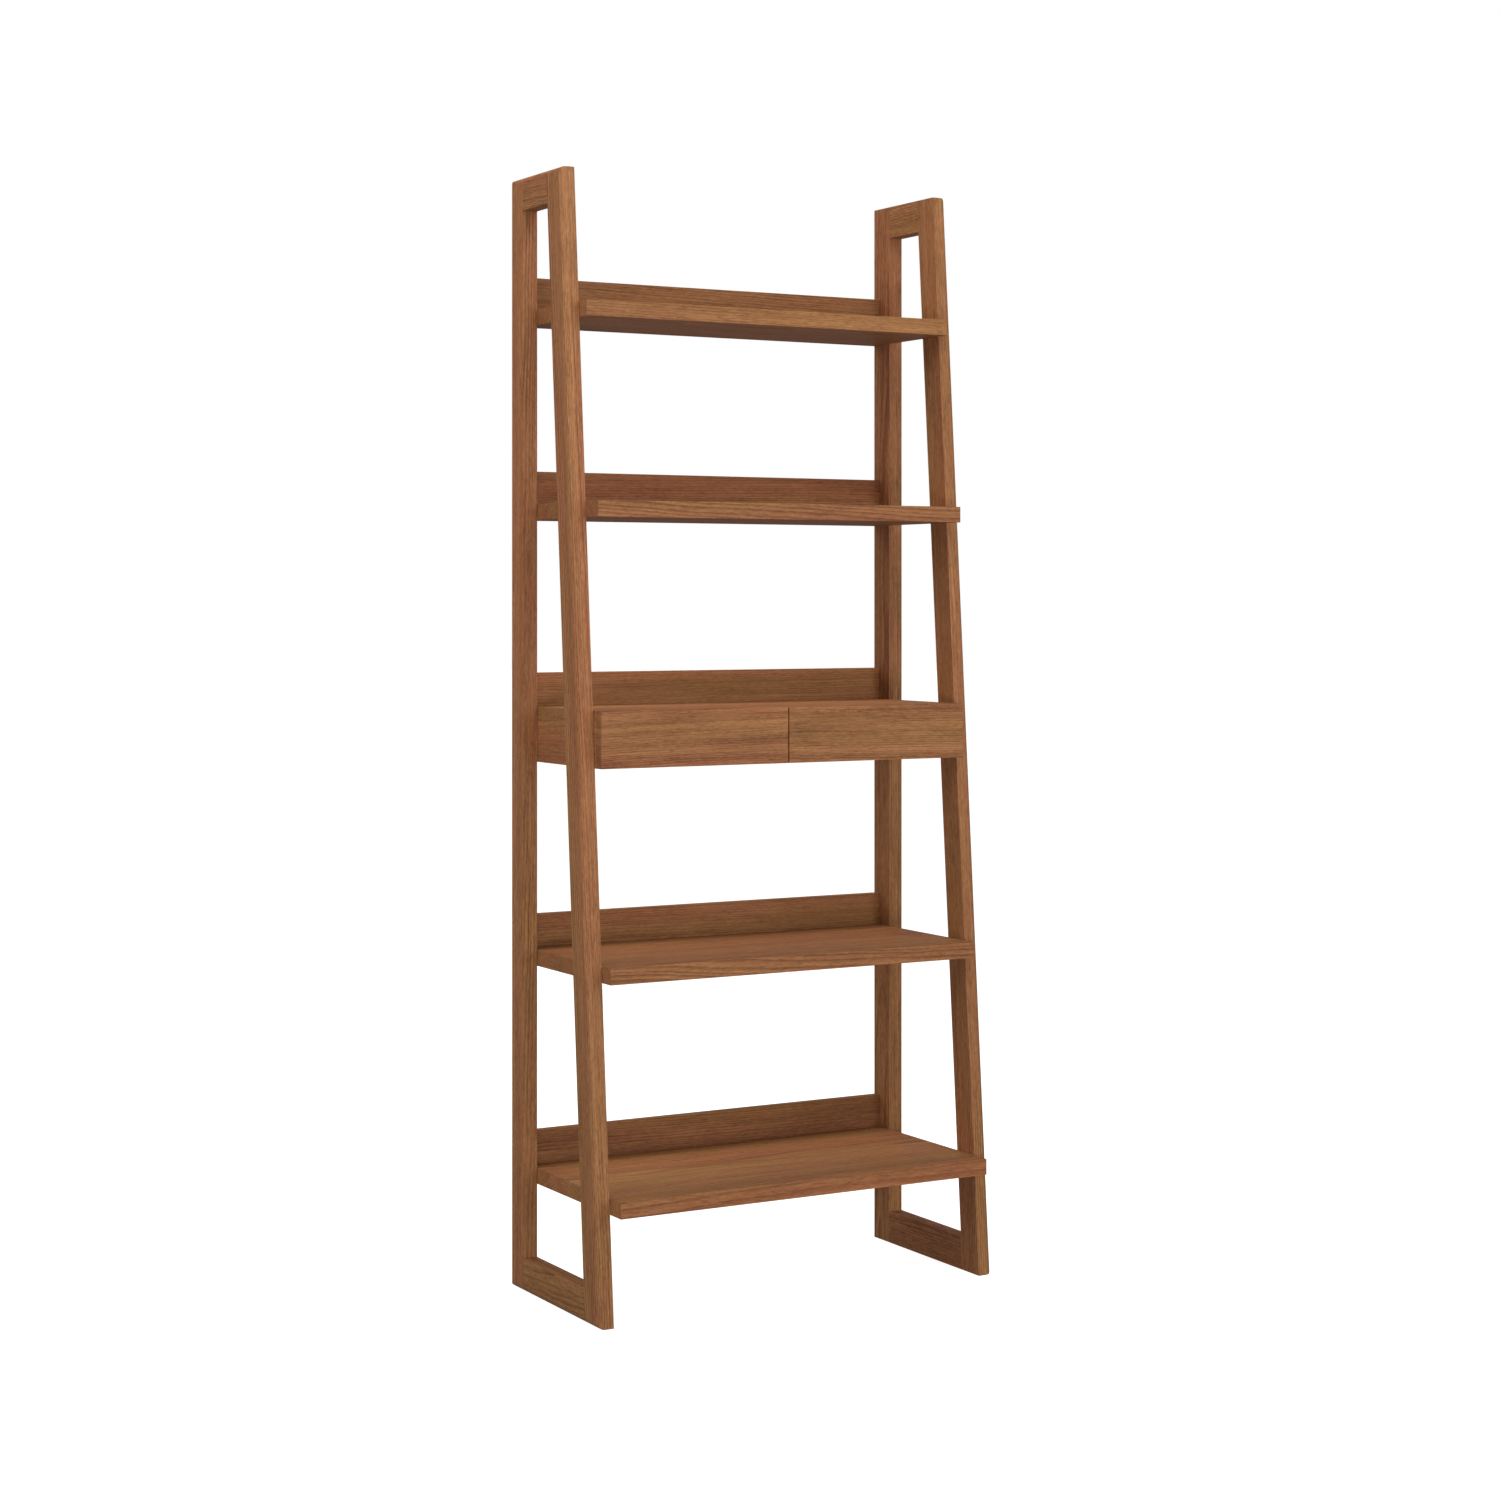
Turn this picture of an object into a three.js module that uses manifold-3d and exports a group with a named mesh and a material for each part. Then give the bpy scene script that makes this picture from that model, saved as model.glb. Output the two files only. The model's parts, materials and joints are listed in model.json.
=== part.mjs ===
// A freestanding ladder shelf in solid wood: two side frames whose front posts lean back,
// four open shelves that get deeper towards the floor, and a shallow case with two drawers.
// Millimetres, +Z up, front towards -Y. The origin is the middle of the footprint, on the floor.
import * as THREE from "three";
import { mergeVertices } from "three/addons/utils/BufferGeometryUtils.js";
import Module from "manifold-3d";

// ---- overall size ----
const HEIGHT = 1800;
const WIDTH = 726;

const EASE = 0.5; // width cut from each face by the small chamfer along every arris

// ---- side frames ----
const FRAME_BASE_DEPTH = 325; // wall plane to the front post's face, at the floor
const FRAME_TOP_DEPTH = 186; // the same at the top
const FRAME_THICKNESS = 26;
const POST_WIDTH = 49;
const RAIL_HEIGHT = 54;
const OUTER_EDGE_RADIUS = 10; // round-over along the outside of each frame
const OUTER_EDGE_STEPS = 5;
const TENON_LENGTH = 25;
const TENON_HEIGHT = 30;
const TENON_THICKNESS = 9;
const TENON_ROOT = 10; // how far a tenon's block reaches back into its rail

// ---- shelves ----
const SHELF_THICKNESS = 26;
const UPSTAND_THICKNESS = 18;
const UPSTAND_RISE = 54; // how far each upstand stands above its shelf
// top: height of the shelf's upper face; depth: wall plane to its front edge
const SHELVES = [
  { name: "top_shelf", top: 1588, depth: 230.5 },
  { name: "upper_shelf", top: 1272.5, depth: 271 },
  { name: "lower_shelf", top: 550.5, depth: 313.5 },
  { name: "bottom_shelf", top: 197.5, depth: 348 },
];

// ---- drawer case ----
const CASE_BASE = 855; // floor to the case's underside
const CASE_HEIGHT = 89.5;
const CASE_DEPTH = 279.5; // wall plane to the drawers' faces
const CASE_BOARD = 15;
const CASE_BOTTOM_THICKNESS = 8;
const FRONT_THICKNESS = 16;
const FRONT_REVEAL = 1; // gap behind and beside each drawer front
const FINGER_GAP = 25; // the case's bottom stops this far behind the fronts

// ---- drawers ----
const DRAWER_WALL = 12;
const DRAWER_SIDE_CLEARANCE = 1.5;
const DRAWER_LIFT = 3.5; // clear space under each drawer's sides
const DRAWER_HEIGHT = 55;
const DRAWER_LENGTH = 232;
const DRAWER_BACK_DROP = 5; // the back stops this far below the sides' upper edge
const DRAWER_BOTTOM_THICKNESS = 6;
const DRAWER_BOTTOM_RAISE = 5.5; // the sides' lower edge to the bottom panel
const PANEL_GROOVE_DEPTH = 6;
const RUNNER_HEIGHT = 11;
const RUNNER_THICKNESS = 7;
const RUNNER_LENGTH = 200;
const RUNNER_SETBACK = 20; // the case's front edge to the runner's front end
const RUNNER_CLEARANCE = 0.5;
const RUNNER_RAISE = 21.5; // the sides' lower edge to the runner

// ---- dowels ----
const DOWEL_RADIUS = 4;
const DOWEL_SIDES = 12;
const DOWEL_IN_FRAME = 18;
const DOWEL_IN_SHELF = 22;
const DOWEL_IN_CASE_SIDE = 11;

const CLEARANCE = 0.3; // between a cut or a slope and the piece that fits it

// ---- worked out from the above; the wall plane is y = 0 and the front is at negative y ----
const INNER_X = WIDTH / 2 - FRAME_THICKNESS; // the middle plane to each frame's inner face
const DEPTH = SHELVES[SHELVES.length - 1].depth;
const LEAN = Math.atan((FRAME_BASE_DEPTH - FRAME_TOP_DEPTH) / HEIGHT);
const FRONT_POST_RUN = POST_WIDTH / Math.cos(LEAN); // the leaning post's width, measured level
const CASE_FRONT = -(CASE_DEPTH - FRONT_THICKNESS - FRONT_REVEAL);
const CASE_BOARD_BASE = CASE_HEIGHT - CASE_BOARD; // the case's base to its top board
const BAY_FAR_X = INNER_X - CASE_BOARD;
const BAY_NEAR_X = CASE_BOARD / 2;
const BAY_MIDDLE_X = (BAY_FAR_X + BAY_NEAR_X) / 2;
const BAY_WIDTH = BAY_FAR_X - BAY_NEAR_X;
const DRAWER_BASE = CASE_BOTTOM_THICKNESS + DRAWER_LIFT; // the case's base to a drawer's sides
const RUNNER_BASE = DRAWER_BASE + RUNNER_RAISE;
const RUNNER_FRONT = CASE_FRONT + RUNNER_SETBACK;
const SIDES = [
  { name: "left", sign: -1 },
  { name: "right", sign: 1 },
];

const wood = (color, roughness) =>
  new THREE.MeshStandardMaterial({ color, roughness, metalness: 0 });
const FRAME_WOOD = wood(0x8f6140, 0.5);
const SHELF_WOOD = wood(0x946643, 0.48);
const DRAWER_FRONT_WOOD = wood(0x976846, 0.48);
const DRAWER_BOX_WOOD = wood(0xa88058, 0.6);
const DOWEL_WOOD = wood(0xc2a078, 0.7);

const wasm = await Module();
wasm.setup();

// ---- solids ----

function solid(geometry) {
  const bare = geometry.clone();
  bare.deleteAttribute("normal");
  bare.deleteAttribute("uv");
  const merged = mergeVertices(bare, 1e-3);
  return new wasm.Manifold(
    new wasm.Mesh({
      numProp: 3,
      vertProperties: new Float32Array(merged.attributes.position.array),
      triVerts: new Uint32Array(merged.index.array),
    }),
  );
}

function geometryOf(body) {
  const mesh = body.getMesh();
  const geometry = new THREE.BufferGeometry();
  geometry.setAttribute("position", new THREE.BufferAttribute(mesh.vertProperties, 3));
  geometry.setIndex(new THREE.BufferAttribute(mesh.triVerts, 1));
  const faceted = geometry.toNonIndexed();
  faceted.computeVertexNormals();
  return faceted;
}

// A rectangular block between two corners, for cutting and for tenons.
function block([x0, y0, z0], [x1, y1, z1]) {
  const geometry = new THREE.BoxGeometry(Math.abs(x1 - x0), Math.abs(y1 - y0), Math.abs(z1 - z0));
  geometry.translate((x0 + x1) / 2, (y0 + y1) / 2, (z0 + z1) / 2);
  return solid(geometry);
}

// Turns a shape drawn in y (across) and z (up) and extruded forwards into one extruded along x.
const ALONG_X = new THREE.Matrix4().makeBasis(
  new THREE.Vector3(0, 1, 0),
  new THREE.Vector3(0, 0, 1),
  new THREE.Vector3(1, 0, 0),
);

const outline = (points) => new THREE.Shape(points.map(([y, z]) => new THREE.Vector2(y, z)));

// An outline with each of its corners cut off by the ease.
function easedOutline(points) {
  const corners = points.map(([y, z]) => new THREE.Vector2(y, z));
  const shape = corners.flatMap((corner, i) => {
    const neighbours = [corners.at(i - 1), corners[(i + 1) % corners.length]];
    return neighbours.map((neighbour) => neighbour.clone().sub(corner).setLength(EASE).add(corner));
  });
  return new THREE.Shape(shape);
}

// A side view, given as (y, z) points, with its thickness spread evenly about the given x and
// with every arris eased.
function easedPrism(points, thickness, middleX = 0) {
  const depth = thickness - 2 * EASE;
  const geometry = new THREE.ExtrudeGeometry(easedOutline(points), {
    depth,
    bevelThickness: EASE,
    bevelSize: EASE,
    bevelOffset: -EASE,
    bevelSegments: 1,
  });
  geometry.applyMatrix4(ALONG_X).translate(middleX - depth / 2, 0, 0);
  return solid(geometry);
}

// A board between two corners, with eased arrises.
function board([x0, y0, z0], [x1, y1, z1]) {
  const section = [
    [y0, z0],
    [y1, z0],
    [y1, z1],
    [y0, z1],
  ];
  return easedPrism(section, Math.abs(x1 - x0), (x0 + x1) / 2);
}

// A round peg along x, with its middle at the origin.
function pegGeometry(length, radius) {
  return new THREE.CylinderGeometry(radius, radius, length, DOWEL_SIDES).rotateZ(Math.PI / 2);
}

const cut = (body, tools) => tools.reduce((left, tool) => left.subtract(tool), body);
const join = (body, others) => others.reduce((whole, other) => whole.add(other), body);

// ---- the scene ----

const shelfUnit = new THREE.Group();
shelfUnit.position.y = DEPTH / 2; // from the wall plane to the middle of the footprint

// An assembly of the unit, whose meshes are placed from the point given.
function subassembly(x, y, z) {
  const group = new THREE.Group();
  group.position.set(x, y, z);
  shelfUnit.add(group);
  return group;
}

function addMesh(parent, name, geometry, material) {
  const mesh = new THREE.Mesh(geometry, material);
  mesh.name = name;
  parent.add(mesh);
  return mesh;
}

const addSolid = (parent, name, body, material) =>
  addMesh(parent, name, geometryOf(body), material);

// ---- dowels: pegs that hold each shelf and the case between the frames ----

const frontPostFace = (z) =>
  -(FRAME_BASE_DEPTH - ((FRAME_BASE_DEPTH - FRAME_TOP_DEPTH) * z) / HEIGHT);

// One dowel near the back post's middle and one in the front post's middle, at each end.
function dowelsFor(boardName, z, lengthInBoard) {
  const length = lengthInBoard + DOWEL_IN_FRAME;
  const middleX = INNER_X + (DOWEL_IN_FRAME - lengthInBoard) / 2;
  const places = [
    { place: "back", y: -(UPSTAND_THICKNESS + POST_WIDTH) / 2 },
    { place: "front", y: frontPostFace(z) + FRONT_POST_RUN / 2 },
  ];
  return SIDES.flatMap(({ name, sign }) =>
    places.map(({ place, y }) => ({
      name: `${boardName}_dowel_${name}_${place}`,
      sign,
      length,
      middle: new THREE.Vector3(sign * middleX, y, z),
    })),
  );
}

// The holes for these dowels, in the coordinates of an assembly that is placed at a point.
function dowelHoles(dowels, placedAt) {
  return dowels.map(({ middle, length }) => {
    const { x, y, z } = middle.clone().sub(placedAt);
    const hole = pegGeometry(length + 2 * CLEARANCE, DOWEL_RADIUS + CLEARANCE);
    return solid(hole.translate(x, y, z));
  });
}

function addDowels(group, dowels) {
  for (const { name, length, middle } of dowels) {
    const dowel = addMesh(group, name, pegGeometry(length, DOWEL_RADIUS), DOWEL_WOOD);
    dowel.position.copy(middle).sub(group.position);
  }
}

const shelfDowels = SHELVES.map(({ name, top }) =>
  dowelsFor(name, top - SHELF_THICKNESS / 2, DOWEL_IN_SHELF),
);
const caseDowels = dowelsFor("case", CASE_BASE + CASE_BOARD_BASE / 2, DOWEL_IN_CASE_SIDE);
const allDowels = [...shelfDowels.flat(), ...caseDowels];

// ---- side frames ----

// The whole frame's side view as one slab whose outer edge is rounded over. The slab is thicker
// than the frame, so only the rounding on the outer side is left where a member is cut from it.
function roundedSlab(sign) {
  const corners = [
    [0, 0],
    [0, HEIGHT],
    [-FRAME_TOP_DEPTH, HEIGHT],
    [-FRAME_BASE_DEPTH, 0],
  ];
  const flatDepth = 2 * FRAME_THICKNESS;
  const geometry = new THREE.ExtrudeGeometry(outline(corners), {
    depth: flatDepth,
    bevelThickness: OUTER_EDGE_RADIUS,
    bevelSize: OUTER_EDGE_RADIUS,
    bevelOffset: -OUTER_EDGE_RADIUS,
    bevelSegments: OUTER_EDGE_STEPS,
  });
  const slabMiddle = FRAME_THICKNESS / 2 - OUTER_EDGE_RADIUS - flatDepth / 2;
  geometry.applyMatrix4(ALONG_X).translate(sign * slabMiddle - flatDepth / 2, 0, 0);
  return solid(geometry);
}

// A rail's tenon, or with room to spare the mortise that takes it. It leaves the rail at the
// shoulder, towards the back post when direction is +1 and towards the front post when it is -1.
function tenon(shoulder, direction, railBase, room = 0) {
  const middleZ = railBase + RAIL_HEIGHT / 2;
  const halfThickness = TENON_THICKNESS / 2 + room;
  const halfHeight = TENON_HEIGHT / 2 + room;
  const root = shoulder - direction * TENON_ROOT;
  const end = shoulder + direction * (TENON_LENGTH + room);
  return block(
    [-halfThickness, root, middleZ - halfHeight],
    [halfThickness, end, middleZ + halfHeight],
  );
}

function addFrame({ name, sign }) {
  const frame = subassembly(sign * (INNER_X + FRAME_THICKNESS / 2), 0, 0);
  const slab = roundedSlab(sign);
  const member = (points) => easedPrism(points, FRAME_THICKNESS).intersect(slab);
  const frameDowels = allDowels.filter((dowel) => dowel.sign === sign);
  const holes = dowelHoles(frameDowels, frame.position);
  const rails = [
    { name: "top_rail", base: HEIGHT - RAIL_HEIGHT },
    { name: "foot_rail", base: 0 },
  ];
  const backShoulder = -POST_WIDTH;
  const frontShoulder = (z) => frontPostFace(z) + FRONT_POST_RUN;
  const frontTenonShoulder = (base) => frontShoulder(base + RAIL_HEIGHT / 2);

  const backPost = member([
    [0, 0],
    [0, HEIGHT],
    [backShoulder, HEIGHT],
    [backShoulder, 0],
  ]);
  const backMortises = rails.map(({ base }) => tenon(backShoulder, 1, base, CLEARANCE));
  addSolid(frame, `${name}_back_post`, cut(backPost, [...backMortises, ...holes]), FRAME_WOOD);

  const frontPost = member([
    [frontPostFace(0), 0],
    [frontPostFace(HEIGHT), HEIGHT],
    [frontShoulder(HEIGHT), HEIGHT],
    [frontShoulder(0), 0],
  ]);
  const frontMortises = rails.map(({ base }) =>
    tenon(frontTenonShoulder(base), -1, base, CLEARANCE),
  );
  addSolid(frame, `${name}_front_post`, cut(frontPost, [...frontMortises, ...holes]), FRAME_WOOD);

  for (const rail of rails) {
    const top = rail.base + RAIL_HEIGHT;
    const body = member([
      [backShoulder, rail.base],
      [backShoulder, top],
      [frontShoulder(top) + CLEARANCE, top],
      [frontShoulder(rail.base) + CLEARANCE, rail.base],
    ]);
    const tenons = [
      tenon(backShoulder, 1, rail.base),
      tenon(frontTenonShoulder(rail.base), -1, rail.base),
    ];
    addSolid(frame, `${name}_${rail.name}`, join(body, tenons), FRAME_WOOD);
  }
}

// ---- open shelves, each with an upstand along its back edge ----

const upstand = (base, top) => board([-INNER_X, -UPSTAND_THICKNESS, base], [INNER_X, 0, top]);

// A shelf's own height 0 is its upper face.
function addShelf({ name, top, depth }, dowels) {
  const shelf = subassembly(0, 0, top);
  const shelfBoard = board(
    [-INNER_X, -depth, -SHELF_THICKNESS],
    [INNER_X, -UPSTAND_THICKNESS, 0],
  );
  const holes = dowelHoles(dowels, shelf.position);
  addSolid(shelf, `${name}_board`, cut(shelfBoard, holes), SHELF_WOOD);
  addSolid(shelf, `${name}_upstand`, upstand(-SHELF_THICKNESS, UPSTAND_RISE), SHELF_WOOD);
  addDowels(shelf, dowels);
}

// ---- drawer case: a shallow box open at the front, with a runner on each side of each bay ----

// The case's own height 0 is its underside.
function addCase() {
  const unit = subassembly(0, 0, CASE_BASE);
  const back = -UPSTAND_THICKNESS;
  const top = board([-INNER_X, CASE_FRONT, CASE_BOARD_BASE], [INNER_X, back, CASE_HEIGHT]);
  addSolid(unit, "case_top", top, SHELF_WOOD);
  addSolid(unit, "case_back", upstand(0, CASE_HEIGHT + UPSTAND_RISE), SHELF_WOOD);

  const holes = dowelHoles(caseDowels, unit.position);
  for (const { name, sign } of SIDES) {
    const side = board(
      [sign * INNER_X, CASE_FRONT, 0],
      [sign * BAY_FAR_X, back, CASE_BOARD_BASE],
    );
    addSolid(unit, `case_side_${name}`, cut(side, holes), SHELF_WOOD);
  }
  const bottom = board(
    [-BAY_FAR_X, CASE_FRONT + FINGER_GAP, 0],
    [BAY_FAR_X, back, CASE_BOTTOM_THICKNESS],
  );
  addSolid(unit, "case_bottom", bottom, SHELF_WOOD);
  const divider = board(
    [-BAY_NEAR_X, CASE_FRONT, CASE_BOTTOM_THICKNESS],
    [BAY_NEAR_X, back, CASE_BOARD_BASE],
  );
  addSolid(unit, "case_divider", divider, SHELF_WOOD);

  for (const { name, sign } of SIDES) {
    const walls = [
      { place: "outer", x: sign * BAY_FAR_X, inward: -sign },
      { place: "inner", x: sign * BAY_NEAR_X, inward: sign },
    ];
    for (const { place, x, inward } of walls) {
      const runner = board(
        [x, RUNNER_FRONT, RUNNER_BASE],
        [x + inward * RUNNER_THICKNESS, RUNNER_FRONT + RUNNER_LENGTH, RUNNER_BASE + RUNNER_HEIGHT],
      );
      addSolid(unit, `runner_${name}_${place}`, runner, DRAWER_BOX_WOOD);
    }
  }
  addDowels(unit, caseDowels);
}

// ---- drawers, with grooves in their sides that ride on the runners ----

// A drawer is placed at the middle of its bay, at the back of its front and level with the
// case's underside. The front is wider than the bay, and reaches further over the case's side
// than over the divider.
function addDrawer({ name, sign }) {
  const backOfFront = -(CASE_DEPTH - FRONT_THICKNESS);
  const drawer = subassembly(sign * BAY_MIDDLE_X, backOfFront, CASE_BASE);
  const outerX = BAY_WIDTH / 2 - DRAWER_SIDE_CLEARANCE;
  const innerX = outerX - DRAWER_WALL;
  const grooveX = innerX + PANEL_GROOVE_DEPTH;
  const top = DRAWER_BASE + DRAWER_HEIGHT;
  const panelBase = DRAWER_BASE + DRAWER_BOTTOM_RAISE;
  const panelTop = panelBase + DRAWER_BOTTOM_THICKNESS;
  const panelGroove = block(
    [-grooveX, -PANEL_GROOVE_DEPTH, panelBase - CLEARANCE],
    [grooveX, DRAWER_LENGTH + CLEARANCE, panelTop + CLEARANCE],
  );

  const frontEnds = [FRONT_REVEAL - BAY_MIDDLE_X, INNER_X - FRONT_REVEAL - BAY_MIDDLE_X];
  const front = board(
    [sign * frontEnds[0], -FRONT_THICKNESS, 0],
    [sign * frontEnds[1], 0, CASE_HEIGHT],
  );
  addSolid(drawer, `drawer_${name}_front`, front.subtract(panelGroove), DRAWER_FRONT_WOOD);

  const runnerFront = RUNNER_FRONT - backOfFront;
  for (const [place, outward] of [["outer", sign], ["inner", -sign]]) {
    const side = board(
      [outward * innerX, 0, DRAWER_BASE],
      [outward * outerX, DRAWER_LENGTH, top],
    );
    const runnerGroove = block(
      [
        outward * (BAY_WIDTH / 2 - RUNNER_THICKNESS - RUNNER_CLEARANCE),
        runnerFront - RUNNER_CLEARANCE,
        RUNNER_BASE - RUNNER_CLEARANCE,
      ],
      [
        outward * (BAY_WIDTH / 2),
        DRAWER_LENGTH + CLEARANCE,
        RUNNER_BASE + RUNNER_HEIGHT + RUNNER_CLEARANCE,
      ],
    );
    const grooved = cut(side, [panelGroove, runnerGroove]);
    addSolid(drawer, `drawer_${name}_side_${place}`, grooved, DRAWER_BOX_WOOD);
  }

  const back = board(
    [-innerX, DRAWER_LENGTH - DRAWER_WALL, panelTop + CLEARANCE],
    [innerX, DRAWER_LENGTH, top - DRAWER_BACK_DROP],
  );
  addSolid(drawer, `drawer_${name}_back`, back, DRAWER_BOX_WOOD);

  const bottom = board(
    [-grooveX + CLEARANCE, -PANEL_GROOVE_DEPTH + CLEARANCE, panelBase],
    [grooveX - CLEARANCE, DRAWER_LENGTH, panelTop],
  );
  addSolid(drawer, `drawer_${name}_bottom`, bottom, DRAWER_BOX_WOOD);
}

SIDES.forEach(addFrame);
SHELVES.forEach((shelf, i) => addShelf(shelf, shelfDowels[i]));
addCase();
SIDES.forEach(addDrawer);

export default shelfUnit;
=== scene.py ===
import json
import math
import random
from collections import namedtuple

import bpy
from mathutils import Matrix, Vector

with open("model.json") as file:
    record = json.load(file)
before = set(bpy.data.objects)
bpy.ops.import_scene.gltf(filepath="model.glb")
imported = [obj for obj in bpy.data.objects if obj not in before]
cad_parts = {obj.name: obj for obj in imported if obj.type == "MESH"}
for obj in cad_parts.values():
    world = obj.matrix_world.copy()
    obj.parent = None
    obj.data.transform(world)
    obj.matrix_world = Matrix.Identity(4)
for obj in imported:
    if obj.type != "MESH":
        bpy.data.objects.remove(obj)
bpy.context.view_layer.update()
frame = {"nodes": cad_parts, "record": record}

NODES = frame["nodes"]

# ---- camera ----
CAMERA_PLACE = (-2.2550, -3.9571, 1.1173)
CAMERA_TURN = math.radians(-29.555)  # about the vertical; the camera looks level
LENS = 66.66  # mm, on a 36 mm sensor
CAMERA_SHIFT = (-0.0003, -0.1001)

# ---- shading ----
SHARP_ANGLE = math.radians(40)  # edges flatter than this are shaded smooth
WELD_DISTANCE = 0.00002  # points closer than this are one
FLAT_ANGLE = math.radians(0.5)  # faces closer to one plane than this become one face
LARGE_FACE_WEIGHT = 100  # the most there is, so that small faces don't bend the shading of large ones


# ---- node building ----


class Graph:
    """Adds nodes to a tree; an input given as another node's output is linked to it."""

    def __init__(self, tree):
        self.tree = tree

    def add(self, kind, inputs=None, **settings):
        node = self.tree.nodes.new(kind)
        for name, value in settings.items():
            setattr(node, name, value)
        for key, value in (inputs or {}).items():
            socket = node.inputs[key]
            if isinstance(value, bpy.types.NodeSocket):
                self.tree.links.new(value, socket)
            else:
                socket.default_value = value
        return node

    def math(self, operation, *values):
        return self.add("ShaderNodeMath", dict(enumerate(values)), operation=operation).outputs[0]

    def vector(self, operation, *values):
        node = self.add("ShaderNodeVectorMath", dict(enumerate(values)), operation=operation)
        return node.outputs["Value" if operation in ("LENGTH", "DOT_PRODUCT") else "Vector"]

    def ease(self, value, start, end, low=0.0, high=1.0):
        """value from start to end, turned smoothly into low to high and held there outside."""
        inputs = {
            "Value": value,
            "From Min": start,
            "From Max": end,
            "To Min": low,
            "To Max": high,
        }
        node = self.add("ShaderNodeMapRange", inputs, interpolation_type="SMOOTHSTEP")
        return node.outputs["Result"]

    def noise(self, place, along, across, detail=2.0, roughness=0.5, output="Fac"):
        """Noise with this many features a metre along the grain and across it."""
        scaled = self.vector("MULTIPLY", place, (along, across, across))
        inputs = {"Vector": scaled, "Scale": 1.0, "Detail": detail, "Roughness": roughness}
        return self.add("ShaderNodeTexNoise", inputs, noise_dimensions="3D").outputs[output]

    def weigh(self, value, weight):
        """A noise about 0.5 turned into one about 0 with this weight."""
        return self.math("MULTIPLY", self.math("SUBTRACT", value, 0.5), weight)

    def total(self, *values):
        result = values[0]
        for value in values[1:]:
            result = self.math("ADD", result, value)
        return result


# ---- wood ----

# growth rings
RING_WANDER = 0.014  # how far they stray from round
YEARS_CHANGE = 0.28  # how fast good and bad years follow each other: features a year
YEARS_SHIFT = 2.0  # the most that this moves a ring, in years
LATE_WOOD_STARTS = (0.3, 0.85)  # of the way through a year
LATE_WOOD_ENDS = (1.0, 0.9)
EARLY_WOOD = 0.35  # a ring's tone where it is lightest; where it is darkest, it is 1 less
RING_WEIGHT = (0.12, 0.42)  # the weight of that in the figure, from least to most

# the sizes of noises: features a metre along the grain and across it
WANDER_NOISE = (2.6, 8.0)
RING_WEIGHT_NOISE = (1.8, 14.0)
BAND_NOISE = (2.0, 27.0)
RED_NOISE = (0.9, 17.0)
PORE_NOISE = (60.0, 800.0)
WEAR_NOISE = (9.0, 60.0)

# the levels of those noises between which what they stand for comes up
RING_WEIGHT_LEVELS = (0.35, 0.65)
RED_LEVELS = (0.48, 0.66)
YELLOW_LEVELS = (0.52, 0.34)
PORE_LEVELS = (0.57, 0.67)
WEAR_LEVELS = (0.4, 0.7)

# what the figure holds beside the rings: the same two sizes, the noise's detail and roughness,
# and its weight
FigureNoise = namedtuple("FigureNoise", "along across detail roughness weight")
FIGURE_NOISES = {
    "streaks": FigureNoise(2.4, 160.0, 3.0, 0.6, 0.36),
    "flecks": FigureNoise(20.0, 240.0, 2.0, 0.6, 0.55),
    "dashes": FigureNoise(85.0, 600.0, 3.0, 0.75, 1.10),
    "fibres": FigureNoise(18.0, 1300.0, 2.0, 0.5, 0.36),
}
BAND_WEIGHT = 0.50
YEARS_WEIGHT = 0.28  # the weight of good and bad years in the bands
PORE_SEASON = (0.55, 0.1)  # of the way through a year, from the fewest pores to the most
PORE_SHARE = (0.35, 1.0)  # how strong the pores are then
WORN_WIDTH = (0.0020, 0.0004)  # metres from an arris where its rubbing starts and is strongest


def new_group(name, inputs, outputs):
    group = bpy.data.node_groups.new(name, "ShaderNodeTree")
    for label, kind in inputs.items():
        group.interface.new_socket(label, in_out="INPUT", socket_type=kind)
    for label, kind in outputs.items():
        group.interface.new_socket(label, in_out="OUTPUT", socket_type=kind)
    return group


def growth_rings(g, given, spot):
    """The years' goodness where each point grew, and how far through its year it did."""
    place = given["Place"]
    along = g.add("ShaderNodeSeparateXYZ", {"Vector": place}).outputs["X"]
    slope = {"Vector": given["Slope"], "Scale": along}
    run = g.add("ShaderNodeVectorMath", slope, operation="SCALE").outputs["Vector"]
    wander = g.noise(spot, *WANDER_NOISE, detail=3.0, output="Color")
    wander = g.vector("SUBTRACT", wander, (0.5, 0.5, 0.5))
    wander = g.vector("MULTIPLY", wander, (0.0, RING_WANDER, RING_WANDER))
    from_pith = g.vector("ADD", g.vector("ADD", place, given["Pith"]), g.vector("ADD", run, wander))
    # the grain runs along X, so only the distance across it counts
    from_pith = g.vector("MULTIPLY", from_pith, (0.0, 1.0, 1.0))
    years = g.math("DIVIDE", g.vector("LENGTH", from_pith), given["Ring"])
    goodness = g.add(
        "ShaderNodeTexNoise",
        {"W": g.math("MULTIPLY", years, YEARS_CHANGE), "Scale": 1.0, "Detail": 2.0},
        noise_dimensions="1D",
    ).outputs["Fac"]
    season = g.math("FRACT", g.math("MULTIPLY_ADD", goodness, YEARS_SHIFT, years))
    return goodness, season


def fine_figure(g, season, spot):
    """Rings that darken through the year and end sharply, and the figure's noises."""
    starting, ending = g.ease(season, *LATE_WOOD_STARTS), g.ease(season, *LATE_WOOD_ENDS)
    late_wood = g.math("MULTIPLY", starting, ending)
    ring_weight = g.ease(g.noise(spot, *RING_WEIGHT_NOISE), *RING_WEIGHT_LEVELS, *RING_WEIGHT)
    figure = g.math("MULTIPLY", g.math("SUBTRACT", EARLY_WOOD, late_wood), ring_weight)
    for sort in FIGURE_NOISES.values():
        noise = g.noise(spot, sort.along, sort.across, sort.detail, sort.roughness)
        figure = g.math("ADD", figure, g.weigh(noise, sort.weight))
    return figure


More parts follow.
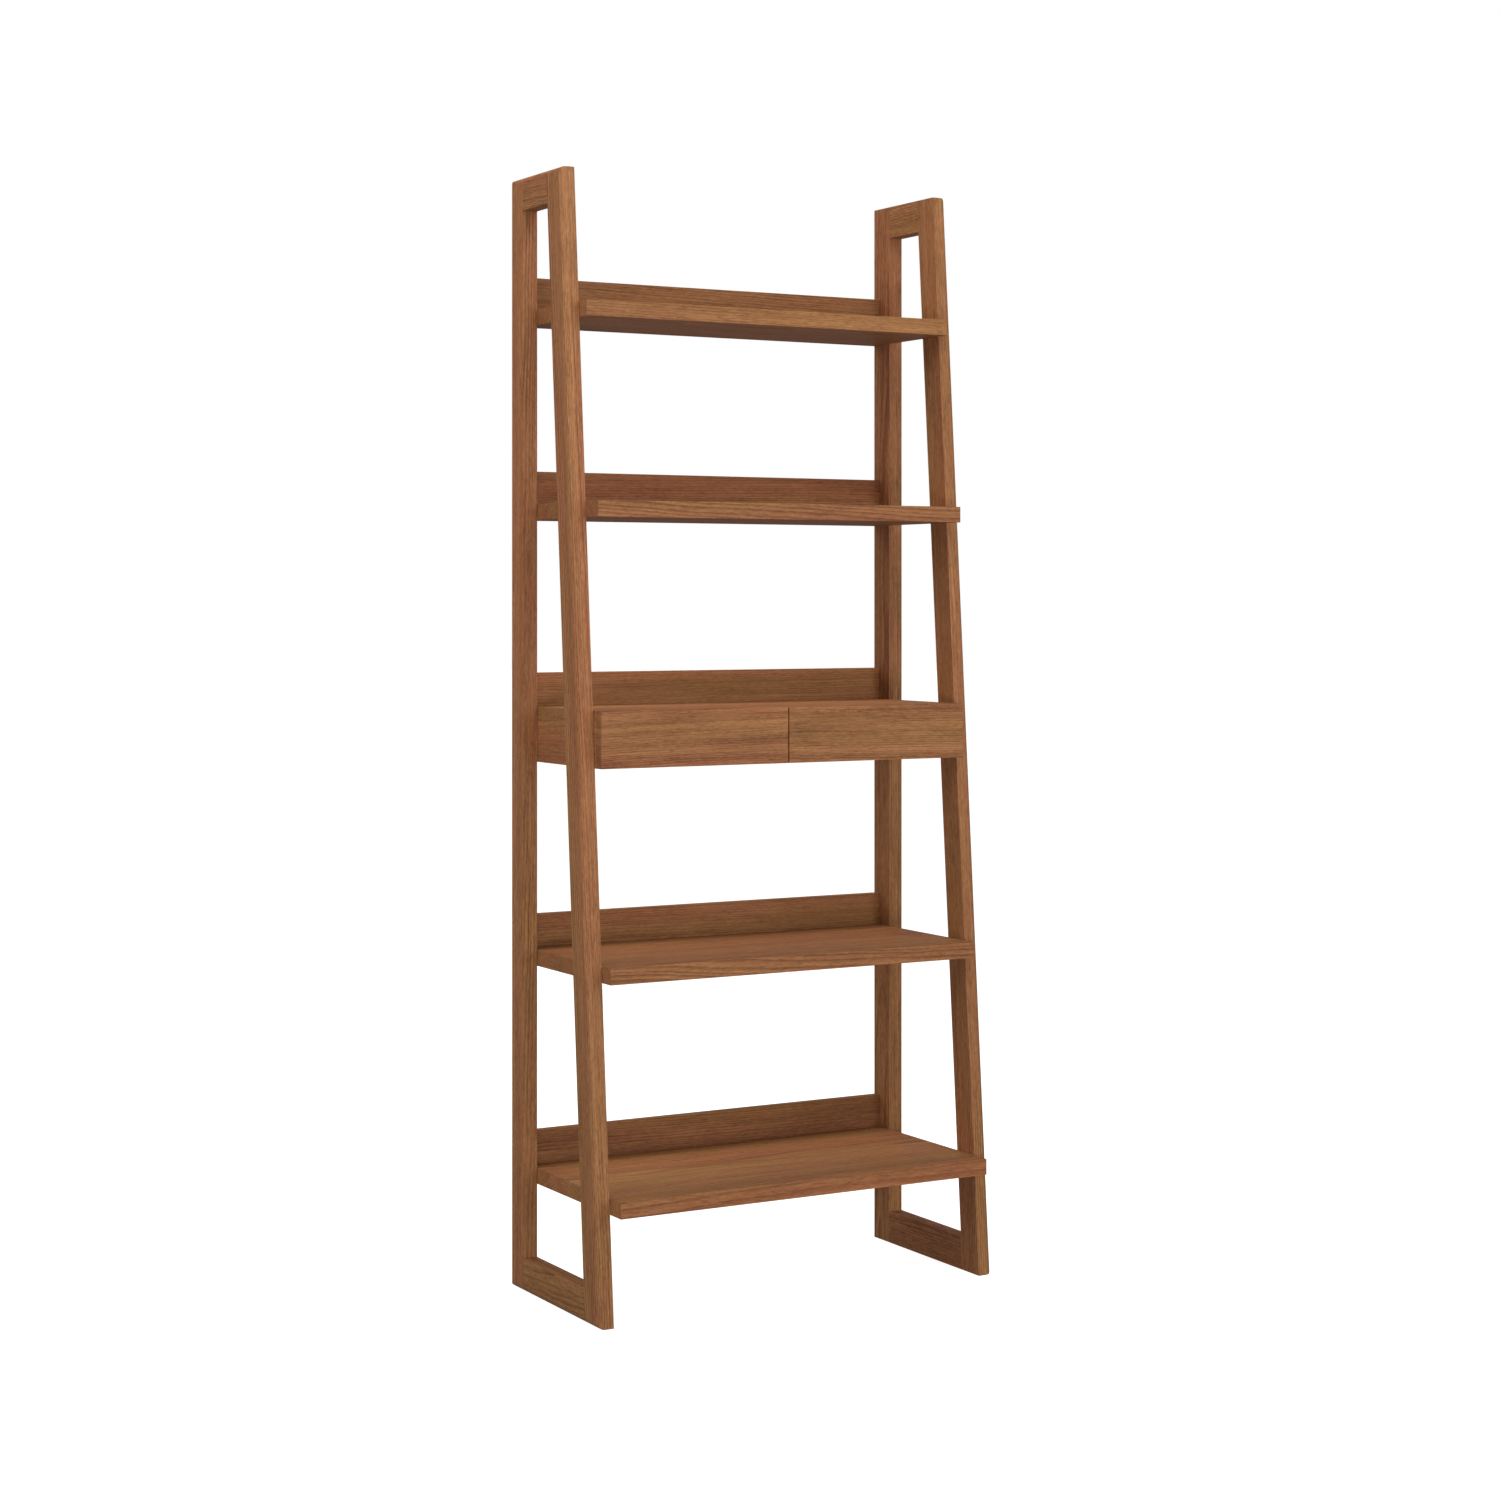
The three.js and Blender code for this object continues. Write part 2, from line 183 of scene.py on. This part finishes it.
def rubbed_arrises(g, given, spot):
    """1 on the arrises, where and as far as they are rubbed."""
    inside = g.vector("SUBTRACT", given["Half"], g.vector("ABSOLUTE", given["Place"]))
    a, b, c = g.add("ShaderNodeSeparateXYZ", {"Vector": inside}).outputs
    # the nearest arris is as far off as the second nearest pair of faces
    nearer, further = g.math("MINIMUM", a, b), g.math("MAXIMUM", a, b)
    arris = g.math("MAXIMUM", nearer, g.math("MINIMUM", further, c))
    rubbed = g.ease(g.noise(spot, *WEAR_NOISE, detail=3.0), *WEAR_LEVELS)
    return g.math("MULTIPLY", g.ease(arris, *WORN_WIDTH), rubbed)


def wood_group():
    """Solid wood with its grain along X, cut from a log whose pith passes at some distance from
    the plank and at a slight angle to it.

    Place is the point measured from the plank's middle, Half the plank's half size, Pith the
    middle's offset from the pith, Slope how fast that offset grows along the plank, Shift picks
    the tree and Ring is the width of a year's growth. Bands are the broad changes of tone and
    Figure the fine ones, both below 0 in darker wood and above it in lighter. Red is 0.5 on
    average, more in redder wood and less in yellower. Pores is 1 in a pore, and Worn is 1 on a
    rubbed arris.
    """
    vectors = ("Place", "Half", "Pith", "Slope", "Shift")
    inputs = {name: "NodeSocketVector" for name in vectors}
    inputs["Ring"] = "NodeSocketFloat"
    outputs = ("Bands", "Figure", "Red", "Pores", "Worn")
    group = new_group("solid wood", inputs, {name: "NodeSocketFloat" for name in outputs})
    g = Graph(group)
    given = g.add("NodeGroupInput").outputs
    spot = g.vector("ADD", given["Place"], given["Shift"])

    goodness, season = growth_rings(g, given, spot)
    broad = g.weigh(g.noise(spot, *BAND_NOISE), BAND_WEIGHT)
    bands = g.math("ADD", broad, g.weigh(goodness, YEARS_WEIGHT))
    pores = g.ease(g.noise(spot, *PORE_NOISE, detail=1.0), *PORE_LEVELS)
    pore_share = g.ease(season, *PORE_SEASON, *PORE_SHARE)
    results = {
        "Bands": bands,
        "Figure": fine_figure(g, season, spot),
        "Red": g.noise(spot, *RED_NOISE),
        "Pores": g.math("MULTIPLY", pores, pore_share),
        "Worn": rubbed_arrises(g, given, spot),
    }
    g.add("NodeGroupOutput", results)
    return group


# colours are linear; each plank is a little redder in one place and yellower in another
RED_TINT = (1.0, 0.88, 0.93)
YELLOW_TINT = (0.94, 1.0, 0.88)
# by species: the colours from its darkest tone to its lightest, of its pores and of its rubbed
# arrises, and how rough its lightest and its darkest wood are
SPECIES = {
    "brown": {
        "ramp": [
            (0.0, (0.112, 0.043, 0.018)),
            (0.25, (0.186, 0.074, 0.030)),
            (0.5, (0.268, 0.112, 0.044)),
            (0.75, (0.348, 0.155, 0.061)),
            (1.0, (0.440, 0.208, 0.082)),
        ],
        "pore": (0.060, 0.023, 0.010),
        "worn": (0.350, 0.160, 0.070),
        "roughness": (0.46, 0.60),
    },
    "pale": {
        "ramp": [
            (0.0, (0.200, 0.105, 0.048)),
            (0.25, (0.295, 0.164, 0.079)),
            (0.5, (0.385, 0.228, 0.117)),
            (0.75, (0.465, 0.292, 0.156)),
            (1.0, (0.550, 0.365, 0.208)),
        ],
        "pore": (0.150, 0.075, 0.035),
        "worn": (0.520, 0.340, 0.190),
        "roughness": (0.55, 0.70),
    },
}
# by slot: the species, the width of its growth rings, how far to the side of the plank's middle
# and behind it the pith lies, from least to most, and how strong its bands and its figure are
Cut = namedtuple("Cut", "species ring_width beside behind band_strength figure_strength")
CUTS = {
    "frame_wood": Cut("brown", 0.0034, (0.02, 0.07), (0.03, 0.09), 0.80, 1.10),
    "shelf_wood": Cut("brown", 0.0042, (0.01, 0.09), (0.07, 0.14), 1.00, 0.85),
    "drawer_front_wood": Cut("brown", 0.0036, (0.05, 0.09), (0.03, 0.06), 2.20, 1.05),
    "drawer_box_wood": Cut("pale", 0.0036, (0.02, 0.07), (0.03, 0.09), 0.80, 0.90),
    "dowel_wood": Cut("pale", 0.0020, (0.02, 0.03), (0.02, 0.03), 0.50, 0.80),
}
MEAN_TONE = 0.52  # of the way from darkest to lightest
TONE_SPREAD = 0.04  # how far a plank may be from that by chance
# the planks lighter or darker than the rest, and by how much: partly their own tone, partly painted
# light and shade
# painted shade darkens the two upstands, as if the shelves near them shaded them, and painted light
# brightens some lighter planks, such as the left back post, in place of lamp light
PLANK_TONE_AND_PAINTED_LIGHT = {
    "case_back": 0.28,
    "case_top": 0.06,
    "left_front_post": 0.02,
    "right_front_post": 0.06,
    "left_back_post": 0.10,
    "right_top_rail": 0.12,
    "upper_shelf_board": -0.06,
    "bottom_shelf_board": 0.08,
    "bottom_shelf_upstand": -0.20,
    "top_shelf_upstand": -0.12,
    "case_side_left": 0.08,
}
PITH_SLOPE = 0.03  # the most that the pith moves away, per metre of plank
SHIFTS = (1.0, 40.0)  # metres, least and most, that a plank is moved through the noises
PORE_COLOUR = 0.45  # the share of the pores' own colour in a pore
WORN_COLOUR = 0.25  # the same for a rubbed arris
PORE_ROUGHNESS = 0.12  # added in a pore
END_ROUGHNESS = 0.10  # added on end grain
# the cosines of the angle between grain and normal where end grain begins and where it is full
END_GRAIN = (0.75, 0.98)
FIGURE_RANGE = (-0.3, 0.4)  # from the figure's roughest wood to its smoothest
FIGURE_HEIGHT = 0.35
PORE_HEIGHT = -0.8
BUMP_STRENGTH = 0.35
BUMP_DEPTH = 0.00025  # metres, for a height of 1
WOOD_SPECULAR = 0.15
WOOD = wood_group()


def colour(rgb):
    return (*rgb, 1.0)


def plank_axes(name):
    """Rows that turn a point of the frame into one of the plank: along its grain, across its
    face and through its thickness."""
    if name.endswith("_front_post"):
        lean = lean_of(NODES[name])
        return Matrix(
            (
                (0.0, math.sin(lean), math.cos(lean)),
                (0.0, math.cos(lean), -math.sin(lean)),
                (1.0, 0.0, 0.0),
            )
        )
    if name.endswith("_back_post"):
        return Matrix(((0.0, 0.0, 1.0), (0.0, 1.0, 0.0), (1.0, 0.0, 0.0)))
    lengthwise = ("rail", "side", "divider", "runner")
    if any(word in name for word in lengthwise):
        return Matrix(((0.0, 1.0, 0.0), (0.0, 0.0, 1.0), (1.0, 0.0, 0.0)))
    if any(word in name for word in ("upstand", "back", "drawer_left_front", "drawer_right_front")):
        return Matrix(((1.0, 0.0, 0.0), (0.0, 0.0, 1.0), (0.0, 1.0, 0.0)))
    return Matrix.Identity(3)


def lean_of(post):
    """The angle from upright of a post's front edge."""
    points = [v.co for v in post.data.vertices]
    lowest = min(p.z for p in points)
    highest = max(p.z for p in points)
    foot = min(p.y for p in points if p.z < lowest + WELD_DISTANCE)
    head = min(p.y for p in points if p.z > highest - WELD_DISTANCE)
    return math.atan2(head - foot, highest - lowest)


def plank_wood(g, name, axes, cut, chance):
    """The wood group's outputs for one piece, cut from a place of its own."""
    points = [axes @ v.co for v in NODES[name].data.vertices]
    low = Vector([min(p[i] for p in points) for i in range(3)])
    high = Vector([max(p[i] for p in points) for i in range(3)])
    to_side = chance.choice((-1, 1)) * chance.uniform(*cut.beside)
    to_back = chance.uniform(*cut.behind)
    slopes = [chance.uniform(-PITH_SLOPE, PITH_SLOPE) for _ in range(2)]
    shift = [chance.uniform(*SHIFTS) for _ in range(3)]

    turned = {
        "Vector": g.add("ShaderNodeTexCoord").outputs["Object"],
        "Location": -(low + high) / 2,
        "Rotation": axes.to_euler(),
    }
    place = g.add("ShaderNodeMapping", turned, vector_type="POINT").outputs["Vector"]
    inputs = {
        "Place": place,
        "Half": (high - low) / 2,
        "Pith": (0.0, to_side, to_back),
        "Slope": (0.0, *slopes),
        "Shift": shift,
        "Ring": cut.ring_width,
    }
    return g.add("ShaderNodeGroup", inputs, node_tree=WOOD).outputs


def wood_colour(g, wood, tone, species):
    """The species' colour for each tone, tinted, with its pores and rubbed arrises."""
    ramp = g.add("ShaderNodeValToRGB", {"Fac": tone})
    stops = ramp.color_ramp.elements
    while len(stops) < len(species["ramp"]):
        stops.new(1.0)
    for stop, (position, rgb) in zip(stops, species["ramp"]):
        stop.position = position
        stop.color = colour(rgb)

    def mix(fac, a, b, way="MIX"):
        inputs = {"Factor": fac, 6: a, 7: colour(b)}  # 6 and 7 are the two colours' sockets
        node = g.add("ShaderNodeMix", inputs, data_type="RGBA", blend_type=way)
        return node.outputs[2]

    redness = g.ease(wood["Red"], *RED_LEVELS)
    yellowness = g.ease(wood["Red"], *YELLOW_LEVELS)
    base = mix(redness, ramp.outputs["Color"], RED_TINT, "MULTIPLY")
    base = mix(yellowness, base, YELLOW_TINT, "MULTIPLY")
    base = mix(g.math("MULTIPLY", wood["Pores"], PORE_COLOUR), base, species["pore"])
    return mix(g.math("MULTIPLY", wood["Worn"], WORN_COLOUR), base, species["worn"])


def wood_roughness(g, wood, grain, species):
    """Roughest in dark wood, in pores and on end grain, which soaks up more oil."""
    normal = g.add("ShaderNodeNewGeometry").outputs["Normal"]
    endness = g.math("ABSOLUTE", g.vector("DOT_PRODUCT", normal, tuple(grain)))
    endness = g.ease(endness, *END_GRAIN)
    smooth, rough = species["roughness"]
    return g.total(
        g.ease(wood["Figure"], *FIGURE_RANGE, rough, smooth),
        g.math("MULTIPLY", wood["Pores"], PORE_ROUGHNESS),
        g.math("MULTIPLY", endness, END_ROUGHNESS),
    )


def wood_bump(g, wood):
    """Raised light wood and sunk pores."""
    height = g.total(
        g.math("MULTIPLY", wood["Figure"], FIGURE_HEIGHT),
        g.math("MULTIPLY", wood["Pores"], PORE_HEIGHT),
    )
    inputs = {"Height": height, "Strength": BUMP_STRENGTH, "Distance": BUMP_DEPTH}
    return g.add("ShaderNodeBump", inputs).outputs["Normal"]


def wood_material(name, slot):
    """The wood of one piece: its own plank, with its own tone, into which painted light or shade is
    mixed on some pieces.
    """
    chance = random.Random(name)
    cut = CUTS[slot]
    species = SPECIES[cut.species]
    axes = plank_axes(name)
    material = bpy.data.materials.new(f"{slot}_{name}")
    material.use_nodes = True
    material.node_tree.nodes.clear()
    g = Graph(material.node_tree)

    wood = plank_wood(g, name, axes, cut, chance)
    # a plank's own tone, with painted light or painted shade added on some planks
    plank_tone_and_painted_light = MEAN_TONE + PLANK_TONE_AND_PAINTED_LIGHT.get(name, 0.0) + chance.uniform(-TONE_SPREAD, TONE_SPREAD)
    tone = g.math("MULTIPLY_ADD", wood["Bands"], cut.band_strength, plank_tone_and_painted_light)
    tone = g.math("MULTIPLY_ADD", wood["Figure"], cut.figure_strength, tone)
    inputs = {
        "Base Color": wood_colour(g, wood, tone, species),
        "Roughness": wood_roughness(g, wood, axes[0], species),
        "Normal": wood_bump(g, wood),
        "Specular IOR Level": WOOD_SPECULAR,
    }
    shader = g.add("ShaderNodeBsdfPrincipled", inputs)
    g.add("ShaderNodeOutputMaterial", {"Surface": shader.outputs["BSDF"]})
    return material


# ---- pieces ----


def smooth_group():
    """Joins the faces of a mesh that meet, drops the normals that it came with, and shades all
    but its sharp edges smooth."""
    group = bpy.data.node_groups.new("weld and smooth", "GeometryNodeTree")
    group.is_modifier = True
    group.interface.new_socket("Geometry", in_out="INPUT", socket_type="NodeSocketGeometry")
    group.interface.new_socket("Geometry", in_out="OUTPUT", socket_type="NodeSocketGeometry")
    g = Graph(group)
    given = g.add("NodeGroupInput").outputs[0]
    bare = g.add("GeometryNodeRemoveAttribute", {"Geometry": given, "Name": "custom_normal"})
    welded = g.add(
        "GeometryNodeMergeByDistance",
        {"Geometry": bare.outputs[0], "Distance": WELD_DISTANCE},
    )
    smooth = g.add("GeometryNodeSetShadeSmooth", {"Geometry": welded.outputs[0]})
    angle = g.add("GeometryNodeInputMeshEdgeAngle").outputs["Unsigned Angle"]
    marked = g.add(
        "GeometryNodeSetShadeSmooth",
        {
            "Geometry": smooth.outputs[0],
            "Selection": g.math("GREATER_THAN", angle, SHARP_ANGLE),
            "Shade Smooth": False,
        },
        domain="EDGE",
    )
    g.add("NodeGroupOutput", {0: marked.outputs[0]})
    return group


SMOOTH = smooth_group()


def shade_smooth(piece):
    """Shades a piece so that its round edges look round and its flat faces stay flat."""
    weld = piece.modifiers.new("weld", "NODES")
    weld.node_group = SMOOTH
    flat = piece.modifiers.new("flat", "DECIMATE")
    flat.decimate_type = "DISSOLVE"
    flat.angle_limit = FLAT_ANGLE
    shade = piece.modifiers.new("shade", "WEIGHTED_NORMAL")
    shade.keep_sharp = True
    shade.weight = LARGE_FACE_WEIGHT


def dress_pieces():
    """Gives every CAD node smooth edges and its own plank of wood."""
    slots = {row["node"]: row["material_slot"] for row in frame["record"]["subparts"]}
    for name, piece in NODES.items():
        slot = slots[name]
        shade_smooth(piece)
        piece.material_slots[0].link = "OBJECT"
        piece.material_slots[0].material = wood_material(name, slot)


# ---- studio ----

STUDIO_RADIUS = 40.0
WHITE = (1.0, 1.0, 1.0, 1.0)
BLACK = (0.0, 0.0, 0.0, 1.0)
FLOOR_COLOUR = (0.40, 0.40, 0.40, 1.0)
NEAR_GLOW = 0.92  # the floor's own light near the unit, where the lamps add the rest
NEAR_FLOOR = 1.5  # metres from the middle, where that starts to rise to full white
FAR_FLOOR = 5.0  # metres from the middle, where it gets there
AMBIENT = 0.21  # the strength of the even light from every side
MIDDLE = (0.0, 0.0, 0.9)  # of the unit

# two high lamps behind the unit for the shelf tops, the steeper one for the strips in the
# upstands' shadows, and softer lamps in front and on the left; the wood's sheen shows only those
# that are in_sheen
Lamp = namedtuple("Lamp", "place target size watts in_sheen")
LAMPS = {
    "back_light": Lamp((0.0, 2.8, 3.6), MIDDLE, (3.0, 1.6), 103.0, False),
    "steep_back_light": Lamp((0.0, 1.3, 4.0), MIDDLE, (2.4, 0.8), 26.0, False),
    "top_front_light": Lamp((0.0, -1.6, 2.9), MIDDLE, (2.0, 1.2), 34.0, True),
    "right_front_light": Lamp((1.4, -2.4, 1.4), (0.0, 0.0, 1.0), (1.6, 2.0), 20.0, True),
    "low_front_light": Lamp((-1.2, -3.0, 0.35), (0.0, 0.0, 0.4), (3.0, 0.6), 44.0, True),
    "left_light": Lamp((-2.0, -0.2, 2.1), (0.3, 0.0, 1.1), (1.4, 2.0), 17.5, True),
    "left_low_light": Lamp((-1.9, 0.2, 0.35), (0.0, 0.1, 0.4), (1.4, 0.5), 4.0, True),
}


def white_material(name):
    """Plain white that gives off its own light, evenly."""
    material = bpy.data.materials.new(name)
    material.use_nodes = True
    shader = material.node_tree.nodes["Principled BSDF"]
    shader.inputs["Base Color"].default_value = BLACK
    shader.inputs["Roughness"].default_value = 0.9
    shader.inputs["Specular IOR Level"].default_value = 0.0
    shader.inputs["Emission Color"].default_value = WHITE
    shader.inputs["Emission Strength"].default_value = 1.0
    return material


def floor_material():
    """White all the way out. Near the unit it glows less, because the lamps light it too."""
    material = white_material("floor")
    shader = material.node_tree.nodes["Principled BSDF"]
    shader.inputs["Base Color"].default_value = FLOOR_COLOUR
    g = Graph(material.node_tree)
    place = g.add("ShaderNodeTexCoord").outputs["Object"]
    distance = g.vector("LENGTH", place)
    glow = g.ease(distance, NEAR_FLOOR, FAR_FLOOR, NEAR_GLOW, 1.0)
    g.tree.links.new(glow, shader.inputs["Emission Strength"])
    return material


def add_studio():
    """A wide pale floor, and a plain pale backdrop all round. Neither of them lights the wood:
    the lamps do, and an even light from every side."""
    bpy.ops.mesh.primitive_circle_add(vertices=96, radius=STUDIO_RADIUS, fill_type="TRIFAN")
    floor = bpy.context.object
    floor.name = "floor"
    floor.data.materials.append(floor_material())
    floor.visible_diffuse = False
    floor.visible_glossy = False

    bpy.ops.mesh.primitive_uv_sphere_add(segments=48, ring_count=24, radius=STUDIO_RADIUS)
    backdrop = bpy.context.object
    backdrop.name = "backdrop"
    backdrop.data.materials.append(white_material("backdrop"))
    backdrop.visible_diffuse = False
    backdrop.visible_glossy = False
    backdrop.visible_shadow = False

    world = bpy.data.worlds.new("studio")
    bpy.context.scene.world = world
    world.use_nodes = True
    ambient = world.node_tree.nodes["Background"]
    ambient.inputs["Color"].default_value = WHITE
    ambient.inputs["Strength"].default_value = AMBIENT


def add_light(name, lamp):
    """A soft rectangular light that the camera doesn't see."""
    data = bpy.data.lights.new(name, "AREA")
    data.shape = "RECTANGLE"
    data.size, data.size_y = lamp.size
    data.energy = lamp.watts
    light = bpy.data.objects.new(name, data)
    bpy.context.scene.collection.objects.link(light)
    light.location = lamp.place
    facing = Vector(lamp.target) - Vector(lamp.place)
    light.rotation_euler = facing.to_track_quat("-Z", "Y").to_euler()
    light.visible_camera = False
    light.visible_glossy = lamp.in_sheen


def add_camera():
    data = bpy.data.cameras.new("camera")
    data.lens = LENS
    data.shift_x, data.shift_y = CAMERA_SHIFT
    camera = bpy.data.objects.new("camera", data)
    bpy.context.scene.collection.objects.link(camera)
    camera.location = CAMERA_PLACE
    camera.rotation_euler = (math.radians(90), 0.0, CAMERA_TURN)
    bpy.context.scene.camera = camera


dress_pieces()
add_studio()
for lamp_name, lamp in LAMPS.items():
    add_light(lamp_name, lamp)
add_camera()
bpy.context.scene.view_settings.view_transform = "Standard"
